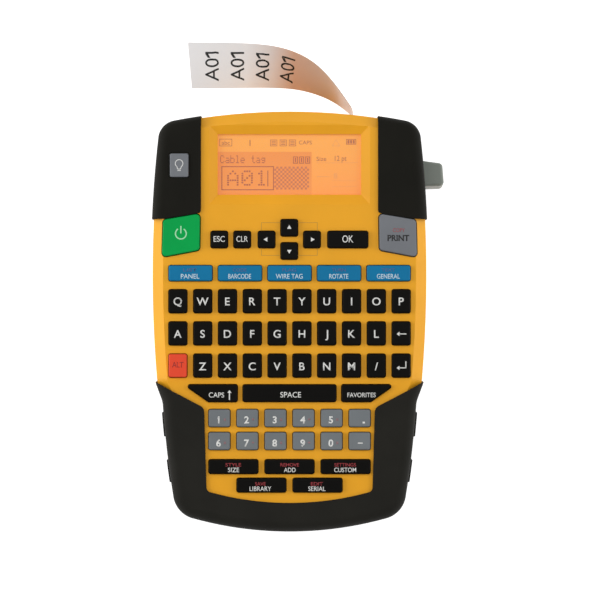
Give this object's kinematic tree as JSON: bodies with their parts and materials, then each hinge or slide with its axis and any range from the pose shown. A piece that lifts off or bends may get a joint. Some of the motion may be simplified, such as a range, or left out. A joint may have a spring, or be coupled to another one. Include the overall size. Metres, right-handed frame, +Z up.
{
  "type": "handheld label maker",
  "caption": "Wedge-shaped handheld label maker with rubber bumpers, amber display, keyboard, tape cassette, cutter lever, battery bay and a printed label curling from its slot.",
  "frame": {"origin": "middle of the flat back, on the plane the label maker rests on when it lies on its back", "axes": "+Z up out of the keyboard, +Y towards the tape exit, +X to the right of the keyboard; the keyboard face leans 4 degrees from level, thicker at the tape end"},
  "size_m": [0.1207, 0.2024, 0.0487],
  "materials": {
    "yellow_shell": "satin",
    "black_rubber": "matte",
    "black_key": "satin",
    "green_key": "satin",
    "grey_key": "satin",
    "blue_key": "satin",
    "red_key": "satin",
    "number_key": "satin",
    "clear_window": "polished",
    "amber_display": "backlit amber",
    "grey_silicone": "matte",
    "green_board": "solder resist",
    "dark_frame": "moulded",
    "cassette_grey": "moulded",
    "white_tape": "laminated film",
    "black_ribbon": "film",
    "white_gear": "moulded",
    "brass_pinion": "machined",
    "motor_can": "plated",
    "platen_rubber": "matte",
    "head_ceramic": "fired",
    "lever_grey": "satin",
    "carrier_black": "moulded",
    "blade_steel": "ground",
    "spring_steel": "drawn wire",
    "contact_plate": "nickel plated",
    "cell_wrap": "printed sleeve",
    "screw_steel": "black zinc"
  },
  "bodies": {
    "base": {"front_housing": "yellow_shell", "back_housing": "yellow_shell", "left_bumper": "black_rubber", "right_bumper": "black_rubber", "lower_bumper": "black_rubber", "lcd_window": "clear_window", "lcd_module": "amber_display", "keypad_mat": "grey_silicone", "main_board": "green_board", "chassis_plate": "dark_frame", "motor": "motor_can", "print_head": "head_ceramic", "battery_cells": "cell_wrap", "battery_contacts": "contact_plate", "cassette_shell": "cassette_grey", "tape_lead": "white_tape", "lever_spring": "spring_steel", "housing_screws": "screw_steel"},
    "cassette_door_body": {"cassette_door": "yellow_shell"},
    "battery_door_body": {"battery_door": "yellow_shell"},
    "cutter_lever_body": {"cutter_lever": "lever_grey"},
    "blade_slide": {"blade_carrier": "carrier_black", "cutter_blade": "blade_steel"},
    "platen": {"platen_roller": "platen_rubber", "platen_gear": "white_gear"},
    "idler": {"idler_gear": "white_gear"},
    "motor_shaft": {"motor_pinion": "brass_pinion"},
    "takeup": {"takeup_gear": "white_gear", "ribbon_takeup_spool": "black_ribbon"},
    "supply": {"ribbon_supply_spool": "black_ribbon"},
    "tape_supply": {"tape_roll": "white_tape"},
    "label": {"label_strip": "white_tape"},
    "letter_keys_upper_body": {"letter_keys_upper": "black_key"},
    "letter_keys_middle_body": {"letter_keys_middle": "black_key"},
    "letter_keys_lower_body": {"letter_keys_lower": "black_key"},
    "alt_key_body": {"alt_key": "red_key"},
    "number_keys_body": {"number_keys": "number_key"},
    "function_key_1_body": {"function_key_1": "blue_key"},
    "function_key_2_body": {"function_key_2": "blue_key"},
    "function_key_3_body": {"function_key_3": "blue_key"},
    "function_key_4_body": {"function_key_4": "blue_key"},
    "function_key_5_body": {"function_key_5": "blue_key"},
    "escape_key_body": {"escape_key": "black_key"},
    "clear_key_body": {"clear_key": "black_key"},
    "left_key_body": {"left_key": "black_key"},
    "right_key_body": {"right_key": "black_key"},
    "up_key_body": {"up_key": "black_key"},
    "down_key_body": {"down_key": "black_key"},
    "ok_key_body": {"ok_key": "black_key"},
    "caps_key_body": {"caps_key": "black_key"},
    "favourites_key_body": {"favourites_key": "black_key"},
    "space_key_body": {"space_key": "black_key"},
    "size_key_body": {"size_key": "black_key"},
    "add_key_body": {"add_key": "black_key"},
    "custom_key_body": {"custom_key": "black_key"},
    "library_key_body": {"library_key": "black_key"},
    "serial_key_body": {"serial_key": "black_key"},
    "power_key_body": {"power_key": "green_key"},
    "print_key_body": {"print_key": "grey_key"},
    "backlight_key_body": {"backlight_key": "grey_key"}
  },
  "joints": [
    {"name": "cassette_door_hinge", "type": "hinge", "parent": "base", "child": "cassette_door_body", "pos_m": [0, 0.0036, 0.0023], "axis": [-1, 0, 0], "range_deg": [0, 90]},
    {"name": "battery_door_hinge", "type": "hinge", "parent": "base", "child": "battery_door_body", "pos_m": [0, -0.0662, 0.0023], "axis": [-1, 0, 0], "range_deg": [0, 90]},
    {"name": "cutter_lever_swing", "type": "hinge", "parent": "base", "child": "cutter_lever_body", "pos_m": [0.049, 0.038, 0.02], "axis": [0, 0, 1], "range_deg": [0, 11], "stiffness_Nm_per_rad": 0.4},
    {"name": "blade_slide_travel", "type": "slide", "parent": "base", "child": "blade_slide", "axis": [-1, 0, 0], "range_m": [0, 0.006]},
    {"name": "platen_spin", "type": "hinge", "parent": "base", "child": "platen", "pos_m": [0.0309, 0.0605, 0.015], "axis": [0, 0, 1], "continuous": true},
    {"name": "idler_spin", "type": "hinge", "parent": "base", "child": "idler", "pos_m": [0.03484, 0.04172, 0.031], "axis": [0, 0, 1], "continuous": true},
    {"name": "motor_spin", "type": "hinge", "parent": "base", "child": "motor_shaft", "pos_m": [0.0445, 0.027, 0.031], "axis": [0, 0, 1], "continuous": true},
    {"name": "takeup_spin", "type": "hinge", "parent": "base", "child": "takeup", "pos_m": [0.0109, 0.043, 0.015], "axis": [0, 0, 1], "continuous": true},
    {"name": "supply_spin", "type": "hinge", "parent": "base", "child": "supply", "pos_m": [0.0116, 0.0195, 0.015], "axis": [0, 0, 1], "continuous": true},
    {"name": "tape_roll_spin", "type": "hinge", "parent": "base", "child": "tape_supply", "pos_m": [-0.0215, 0.0306, 0.015], "axis": [0, 0, 1], "continuous": true},
    {"name": "label_pull", "type": "slide", "parent": "base", "child": "label", "axis": [0, 1, 0], "range_m": [0, 0.02]},
    {"name": "letter_upper_press", "type": "slide", "parent": "base", "child": "letter_keys_upper_body", "axis": [0, 0.0698, -0.9976], "range_m": [0, 0.001], "stiffness_N_per_m": 3000},
    {"name": "letter_middle_press", "type": "slide", "parent": "base", "child": "letter_keys_middle_body", "axis": [0, 0.0698, -0.9976], "range_m": [0, 0.001], "stiffness_N_per_m": 3000},
    {"name": "letter_lower_press", "type": "slide", "parent": "base", "child": "letter_keys_lower_body", "axis": [0, 0.0698, -0.9976], "range_m": [0, 0.001], "stiffness_N_per_m": 3000},
    {"name": "alt_press", "type": "slide", "parent": "base", "child": "alt_key_body", "axis": [0, 0.0698, -0.9976], "range_m": [0, 0.001], "stiffness_N_per_m": 600},
    {"name": "number_press", "type": "slide", "parent": "base", "child": "number_keys_body", "axis": [0, 0.0698, -0.9976], "range_m": [0, 0.001], "stiffness_N_per_m": 3000},
    {"name": "function_1_press", "type": "slide", "parent": "base", "child": "function_key_1_body", "axis": [0, 0.0698, -0.9976], "range_m": [0, 0.001], "stiffness_N_per_m": 600},
    {"name": "function_2_press", "type": "slide", "parent": "base", "child": "function_key_2_body", "axis": [0, 0.0698, -0.9976], "range_m": [0, 0.001], "stiffness_N_per_m": 600},
    {"name": "function_3_press", "type": "slide", "parent": "base", "child": "function_key_3_body", "axis": [0, 0.0698, -0.9976], "range_m": [0, 0.001], "stiffness_N_per_m": 600},
    {"name": "function_4_press", "type": "slide", "parent": "base", "child": "function_key_4_body", "axis": [0, 0.0698, -0.9976], "range_m": [0, 0.001], "stiffness_N_per_m": 600},
    {"name": "function_5_press", "type": "slide", "parent": "base", "child": "function_key_5_body", "axis": [0, 0.0698, -0.9976], "range_m": [0, 0.001], "stiffness_N_per_m": 600},
    {"name": "escape_press", "type": "slide", "parent": "base", "child": "escape_key_body", "axis": [0, 0.0698, -0.9976], "range_m": [0, 0.001], "stiffness_N_per_m": 600},
    {"name": "clear_press", "type": "slide", "parent": "base", "child": "clear_key_body", "axis": [0, 0.0698, -0.9976], "range_m": [0, 0.001], "stiffness_N_per_m": 600},
    {"name": "left_press", "type": "slide", "parent": "base", "child": "left_key_body", "axis": [0, 0.0698, -0.9976], "range_m": [0, 0.001], "stiffness_N_per_m": 600},
    {"name": "right_press", "type": "slide", "parent": "base", "child": "right_key_body", "axis": [0, 0.0698, -0.9976], "range_m": [0, 0.001], "stiffness_N_per_m": 600},
    {"name": "up_press", "type": "slide", "parent": "base", "child": "up_key_body", "axis": [0, 0.0698, -0.9976], "range_m": [0, 0.001], "stiffness_N_per_m": 600},
    {"name": "down_press", "type": "slide", "parent": "base", "child": "down_key_body", "axis": [0, 0.0698, -0.9976], "range_m": [0, 0.001], "stiffness_N_per_m": 600},
    {"name": "ok_press", "type": "slide", "parent": "base", "child": "ok_key_body", "axis": [0, 0.0698, -0.9976], "range_m": [0, 0.001], "stiffness_N_per_m": 600},
    {"name": "caps_press", "type": "slide", "parent": "base", "child": "caps_key_body", "axis": [0, 0.0698, -0.9976], "range_m": [0, 0.001], "stiffness_N_per_m": 600},
    {"name": "favourites_press", "type": "slide", "parent": "base", "child": "favourites_key_body", "axis": [0, 0.0698, -0.9976], "range_m": [0, 0.001], "stiffness_N_per_m": 600},
    {"name": "space_press", "type": "slide", "parent": "base", "child": "space_key_body", "axis": [0, 0.0698, -0.9976], "range_m": [0, 0.001], "stiffness_N_per_m": 600},
    {"name": "size_press", "type": "slide", "parent": "base", "child": "size_key_body", "axis": [0, 0.0698, -0.9976], "range_m": [0, 0.001], "stiffness_N_per_m": 600},
    {"name": "add_press", "type": "slide", "parent": "base", "child": "add_key_body", "axis": [0, 0.0698, -0.9976], "range_m": [0, 0.001], "stiffness_N_per_m": 600},
    {"name": "custom_press", "type": "slide", "parent": "base", "child": "custom_key_body", "axis": [0, 0.0698, -0.9976], "range_m": [0, 0.001], "stiffness_N_per_m": 600},
    {"name": "library_press", "type": "slide", "parent": "base", "child": "library_key_body", "axis": [0, 0.0698, -0.9976], "range_m": [0, 0.001], "stiffness_N_per_m": 600},
    {"name": "serial_press", "type": "slide", "parent": "base", "child": "serial_key_body", "axis": [0, 0.0698, -0.9976], "range_m": [0, 0.001], "stiffness_N_per_m": 600},
    {"name": "power_press", "type": "slide", "parent": "base", "child": "power_key_body", "axis": [0, 0.0698, -0.9976], "range_m": [0, 0.001], "stiffness_N_per_m": 600},
    {"name": "print_press", "type": "slide", "parent": "base", "child": "print_key_body", "axis": [0, 0.0698, -0.9976], "range_m": [0, 0.001], "stiffness_N_per_m": 600},
    {"name": "backlight_press", "type": "slide", "parent": "base", "child": "backlight_key_body", "axis": [0, 0.0698, -0.9976], "range_m": [0, 0.001], "stiffness_N_per_m": 600}
  ],
  "couplings": [
    {"joint": "blade_slide_travel", "follows": "cutter_lever_swing", "m_per_rad": 0.0307},
    {"joint": "idler_spin", "follows": "platen_spin", "ratio": -0.6},
    {"joint": "motor_spin", "follows": "platen_spin", "ratio": 1.2857},
    {"joint": "takeup_spin", "follows": "platen_spin", "ratio": 0.6},
    {"joint": "supply_spin", "follows": "platen_spin", "ratio": -0.62857},
    {"joint": "tape_roll_spin", "follows": "platen_spin", "ratio": 0.21463}
  ]
}
